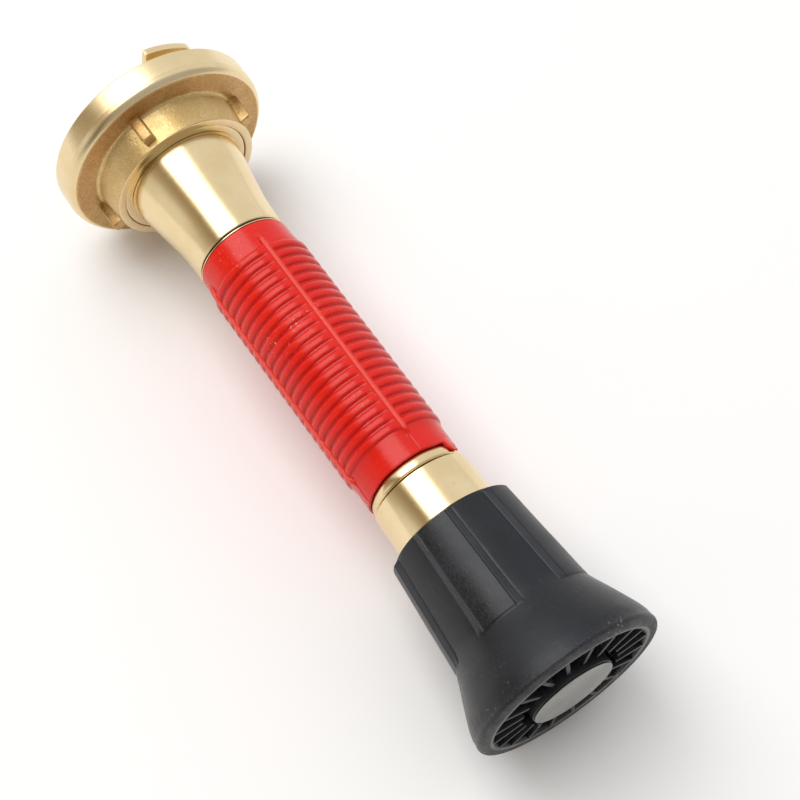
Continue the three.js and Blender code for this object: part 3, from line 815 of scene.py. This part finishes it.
PAD_REAR_R, PAD_RISE, PAD_TOP_END = 28.5, 3.85, 281.5
WALL_END, WALL_REAR_R, WALL_END_R, WALL_STEPS = 276, 27.3, 30.7, 40  # the panels between the pads
BEAD_X, BEAD_R, BEAD_SIZE = 310.75, 39.7, 2.65
TEETH, TOOTH_ANGLE, TOOTH_THICKNESS = 20, 8, 1.7


def barrel():
    outline = [
        (212.2, 20.6), (212.2, 22.4), (233.4, 22.9), (250, 22.9), (250, 25), (256, 25), (256, 22.9),
        (286, 22.9), (286, 20.6), (283.2, 19.6), (279.6, 16), (277.6, 16), (268.5, 19.9),
        (216.8, 19.9), (216.8, 21.4), (213.5, 21.4), (213.5, 20.6),
    ]
    body = revolve("barrel_visual", soften(outline, 0.35, 3), evenly(160))
    holes = [
        revolve_about_pin([(0, 18), (2.9, 18), (2.9, 24), (0, 24)], a) for a in PIN_ANGLES
    ]
    return combine(body, holes, "DIFFERENCE")


def revolve_about_pin(outline, degrees):
    """A round post where a guide pin stands, from [its radius, height over the nozzle's axis]."""
    segments = 32
    turn = Matrix.Rotation(math.radians(degrees), 3, "X")
    verts, faces = [], []
    count = len(outline)
    for j in range(segments):
        a = 2 * math.pi * j / segments
        for radius, height in outline:
            point = Vector((CAM_X + radius * math.cos(a), height, radius * math.sin(a)))
            verts.append(FACE + turn @ point * MM)
    for j in range(segments):
        k = (j + 1) % segments
        for i in range(count - 1):
            faces.append((j * count + i, j * count + i + 1, k * count + i + 1, k * count + i))
    return new_object("post", finished_mesh("post", verts, faces))


finish_piece(barrel(), "head", [TURNED], ["barrel"])


def bumper_warp(x, r, degrees):
    """Raises the pads over the panels between them and roughens the skin a little."""
    if r < 26 or x < 233.5:
        return x, r
    if PAD_START - 1.1 < x < PAD_END + 1.4 and r < 33.5:
        from_pad = min(abs(apart(degrees, centre)) for centre in PAD_CENTRES)
        side = 1 - min(max((from_pad - PAD_HALF) / (FLANK_END - PAD_HALF), 0), 1)
        top = PAD_REAR_R + PAD_RISE * (x - PAD_START) / (PAD_TOP_END - PAD_START)
        rear = smoothstep(PAD_START - 1.0, PAD_START - 0.1, x)
        wall = rear * (1 - smoothstep(PAD_END - 1.2, PAD_END, x))
        r += (max(top - r, 0) * side + 0.15 * (from_pad < FLANK_END)) * wall
        for edge in (PAD_HALF, FLANK_END):
            r -= 0.28 * math.exp(-(((from_pad - edge) / 0.35) ** 2)) * wall
        panel_half = 180 / PADS - FLANK_END
        hollow = 1 - (apart(degrees, nearest_panel(degrees)) / panel_half) ** 2
        r -= 0.4 * max(hollow, 0) * (1 - smoothstep(270, PAD_END, x)) * rear
    wobble = noise.noise(place(x, r, degrees) * 70) * 0.10
    if x > 305:
        wobble += noise.noise(place(x, r, degrees) * 420) * 0.07
    return x, r + wobble


def nearest_panel(degrees):
    """The middle of the nearest panel between two pads, in degrees."""
    return min((centre + 180 / PADS for centre in PAD_CENTRES), key=lambda c: abs(apart(degrees, c)))


FLANK_MIDDLE = 17
PAD_EDGES = [centre + side * FLANK_MIDDLE for centre in PAD_CENTRES for side in (-1, 1)]


def bumper_outline():
    rear = [(233.4, 23.2), (233.4, 26.4), (233.6, 26.8)]
    length, rise = WALL_END - PAD_START, WALL_END_R - WALL_REAR_R
    wall = [
        (PAD_START + length * i / WALL_STEPS, WALL_REAR_R + rise * i / WALL_STEPS)
        for i in range(WALL_STEPS + 1)
    ]
    bell = spline(
        [(277, 30.8), (279, 31.1), (281.5, 31.85), (284, 32.8), (287.5, 34.25), (292, 36.2), (298.5, 38.9),
         (304, 41.0), (307.2, 41.85)],
        6,
    )
    bead = []
    bead_start, bead_sweep, steps = 118, 140, 14
    for i in range(steps + 1):
        angle = math.radians(bead_start - bead_sweep * i / steps)
        bead.append((BEAD_X + BEAD_SIZE * math.cos(angle), BEAD_R + BEAD_SIZE * math.sin(angle)))
    inner_edge = spline([(313.1, 37.0), (312.9, 36.0), (312.0, 35.2), (310.5, 34.9)], 4)
    mouth = [(300, 33.5), (290, 29), (288, 24.5), (286.3, 20.8)]
    bore = [(286.3, 23.2), (256.3, 23.2), (256.3, 25.3), (249.7, 25.3), (249.7, 23.2)]
    return rear + wall + bell + bead + inner_edge + mouth + bore


finish_piece(
    revolve("bumper_visual", bumper_outline(), finer_near(PAD_EDGES, 3.6, 0.3, 1.2), bumper_warp, 38),
    "head", [BLACK], ["bumper"],
)


def fog_teeth():
    tooth = soften(
        [(287.5, 22.6), (313.1, 22.5), (313.1, 36.2), (308, 35.2), (300, 34.1), (290, 29.6),
         (287.5, 25)],
        0.5, 3,
    )
    angles = [TOOTH_ANGLE + 360 / TEETH * i for i in range(TEETH)]
    return merged(
        "fog_teeth_visual",
        [bevel(slab("tooth", tooth, TOOTH_THICKNESS, angle), 0.3, 3) for angle in angles],
    )


finish_piece(fog_teeth(), "head", [BLACK])

# ------------------------------------------------------------------ inner CAD pieces

for names, material in (
    (("spider", "stem", "stem_nut"), TURNED),
    (("head_seal_1", "head_seal_2", "wiper_ring", "baffle_seal"), SEAL),
    (("slide_washer",), PLASTIC),
    (("guide_pin_1", "guide_pin_2"), STEEL),
):
    for name in names:
        mesh = frame["nodes"][name].data
        mesh.materials.clear()
        mesh.materials.append(material)

# ------------------------------------------------------------------ floor, light and camera

RIM_X, LIP_X = 5.0, 311.0
TILT = math.atan2(RIM_R - LIP_R, LIP_X - RIM_X)
CAMERA_PLACE, CAMERA_FORWARD = (460.4, -178.6, 665.8), (-0.38223, 0.25896, -0.88703)


def floor():
    """A pale floor, tilted so that it lies just under both the rim and the thinner bumper."""
    s = Shader("pale_floor", Metallic=0.0, Roughness=0.9)
    s.drive("Base Color", s.mix(s.noise(3, 2), rgb(250, 249, 248), rgb(246, 245, 244)))
    mesh = bpy.data.meshes.new("floor")
    half = 12.0
    mesh.from_pydata(
        [(-half, -half, 0), (half, -half, 0), (half, half, 0), (-half, half, 0)], [], [(0, 1, 2, 3)]
    )
    plane = new_object("floor", mesh)
    plane.data.materials.append(s.material)
    plane.rotation_euler = (0, -TILT, 0)
    plane.location = FACE + Vector((RIM_X, 0, -RIM_R - 0.15)) * MM


def softbox(name, direction, distance, size, radiance, tint):
    """A rectangular light that faces the nozzle, its long side along the axis."""
    light = bpy.data.lights.new(name, "AREA")
    light.shape = "RECTANGLE"
    light.size, light.size_y = size
    light.energy = radiance * math.pi * size[0] * size[1]
    light.color = tint
    box = bpy.data.objects.new(name, light)
    bpy.context.scene.collection.objects.link(box)
    target = FACE + Vector((150, 0, 0)) * MM
    away = Vector(direction).normalized()
    side = (Vector((1, 0, 0)) - away * away.x).normalized()
    box.matrix_world = Matrix.Translation(target + away * distance) @ Matrix(
        (side, away.cross(side), away)
    ).transposed().to_4x4()


def world():
    """An even pale studio with a brown band on the side of low Y, dimmer in front of the mouth."""
    made = bpy.data.worlds.new("studio")
    bpy.context.scene.world = made
    made.use_nodes = True
    tree = made.node_tree
    background = tree.nodes["Background"]
    direction = tree.nodes.new("ShaderNodeTexCoord").outputs["Generated"]
    sideways = tree.nodes.new("ShaderNodeSeparateXYZ")
    tree.links.new(direction, sideways.inputs[0])
    ramp = tree.nodes.new("ShaderNodeValToRGB")
    ramp.color_ramp.interpolation = "EASE"
    share = tree.nodes.new("ShaderNodeMapRange")
    share.inputs["From Min"].default_value = -1.0
    tree.links.new(sideways.outputs["Y"], share.inputs["Value"])
    tree.links.new(share.outputs[0], ramp.inputs[0])
    pale, brown = (0.86, 0.86, 0.86), (0.28, 0.20, 0.115)
    levels = (
        (0.0, (0.90, 0.89, 0.88)), (0.035, (0.84, 0.82, 0.78)), (0.10, (0.46, 0.39, 0.29)),
        (0.165, brown), (0.20, brown), (0.24, pale), (1.0, (0.90, 0.90, 0.91)),
    )
    while len(ramp.color_ramp.elements) < len(levels):
        ramp.color_ramp.elements.new(0.5)
    for element, (position, colour) in zip(ramp.color_ramp.elements, levels):
        element.position = position
        element.color = (*colour, 1.0)
    tree.links.new(ramp.outputs[0], background.inputs[0])
    front = tree.nodes.new("ShaderNodeMapRange")
    tree.links.new(sideways.outputs["X"], front.inputs["Value"])
    for socket, value in (("From Min", -0.1), ("From Max", 0.3), ("To Min", 1.0), ("To Max", 0.55)):
        front.inputs[socket].default_value = value
    tree.links.new(front.outputs[0], background.inputs[1])


def camera():
    lens = bpy.data.cameras.new("camera")
    lens.sensor_width = 36
    lens.lens = 81.7
    lens.clip_start = 0.01
    lens.clip_end = 20
    view = bpy.data.objects.new("camera", lens)
    bpy.context.scene.collection.objects.link(view)
    forward = Vector(CAMERA_FORWARD).normalized()
    right = forward.cross(Vector((0, 0, 1))).normalized()
    up = right.cross(forward)
    rotation = Matrix((right, up, -forward)).transposed().to_4x4()
    view.matrix_world = Matrix.Translation(FACE + Vector(CAMERA_PLACE) * MM) @ rotation
    bpy.context.scene.camera = view


floor()
world()
softbox("key", (-0.38, -0.19, 0.905), 2.4, (2.4, 1.75), 2.8, (1.0, 1.0, 0.99))
camera()
bpy.context.scene.view_settings.view_transform = "Standard"
